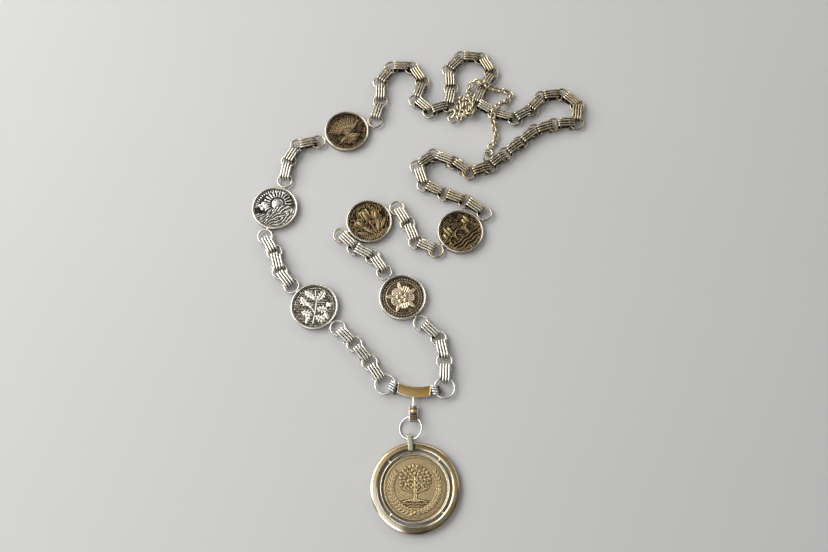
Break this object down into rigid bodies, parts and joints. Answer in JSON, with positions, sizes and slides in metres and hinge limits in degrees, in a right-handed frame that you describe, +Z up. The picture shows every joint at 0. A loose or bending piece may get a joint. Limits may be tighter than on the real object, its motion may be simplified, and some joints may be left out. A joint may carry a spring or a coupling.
{
  "type": "mayoral chain of office",
  "caption": "Mayor's chain of office laid flat: barrel links on round rings, round medallions, a curved bar with a large round pendant, and a fine safety chain.",
  "frame": {"origin": "middle of the laid-out chain, on the surface it lies on", "axes": "+Z up off the surface, +Y from the pendant towards the back of the neck"},
  "size_m": [0.2388, 0.3484, 0.0092],
  "materials": {
    "chain_silver": "warm old silver, polished on the high wires and dark between them",
    "medallion_rim": "warm silver, satin, with a dark groove",
    "medallion_disc": "patinated bronze relief, rubbed bright on the high places",
    "pendant_gold": "polished pale gold",
    "pendant_face": "matt, finely pitted gold",
    "bar_gold": "satin gold",
    "bright_silver": "bright polished silver"
  },
  "bodies": {
    "root": {"bar": "bar_gold", "big_ring_left": "bright_silver", "big_ring_right": "bright_silver", "link_left_back_1": "chain_silver", "link_left_back_2": "chain_silver", "link_left_back_3": "chain_silver", "link_left_front_1": "chain_silver", "link_left_front_2": "chain_silver", "link_left_front_3": "chain_silver", "link_left_middle_1": "chain_silver", "link_left_middle_2": "chain_silver", "link_left_middle_3": "chain_silver", "link_right_back_1": "chain_silver", "link_right_back_2": "chain_silver", "link_right_back_3": "chain_silver", "link_right_front_1": "chain_silver", "link_right_front_2": "chain_silver", "link_right_front_3": "chain_silver", "link_right_middle_1": "chain_silver", "link_right_middle_2": "chain_silver", "link_right_middle_3": "chain_silver", "medallion_left_high_disc": "medallion_disc", "medallion_left_high_rim": "medallion_rim", "medallion_left_low_disc": "medallion_disc", "medallion_left_low_rim": "medallion_rim", "medallion_left_mid_disc": "medallion_disc", "medallion_left_mid_rim": "medallion_rim", "medallion_right_high_disc": "medallion_disc", "medallion_right_high_rim": "medallion_rim", "medallion_right_low_disc": "medallion_disc", "medallion_right_low_rim": "medallion_rim", "medallion_right_mid_disc": "medallion_disc", "medallion_right_mid_rim": "medallion_rim", "neck_run_1": "chain_silver", "neck_run_2": "chain_silver", "neck_run_3": "chain_silver", "neck_run_4": "chain_silver", "neck_run_5": "chain_silver", "pendant_bail": "pendant_gold", "pendant_disc": "pendant_face", "pendant_frame": "pendant_gold", "pendant_jump_ring": "bright_silver", "ring_left_back_1": "chain_silver", "ring_left_back_2": "chain_silver", "ring_left_front_1": "chain_silver", "ring_left_front_2": "chain_silver", "ring_left_middle_1": "chain_silver", "ring_left_middle_2": "chain_silver", "ring_right_back_1": "chain_silver", "ring_right_back_2": "chain_silver", "ring_right_front_1": "chain_silver", "ring_right_front_2": "chain_silver", "ring_right_middle_1": "chain_silver", "ring_right_middle_2": "chain_silver", "safety_chain": "bright_silver", "safety_ring_a": "bright_silver", "safety_ring_b": "bright_silver", "safety_ring_c": "bright_silver", "safety_ring_d": "bright_silver", "swivel_box": "bar_gold"}
  },
  "joints": []
}
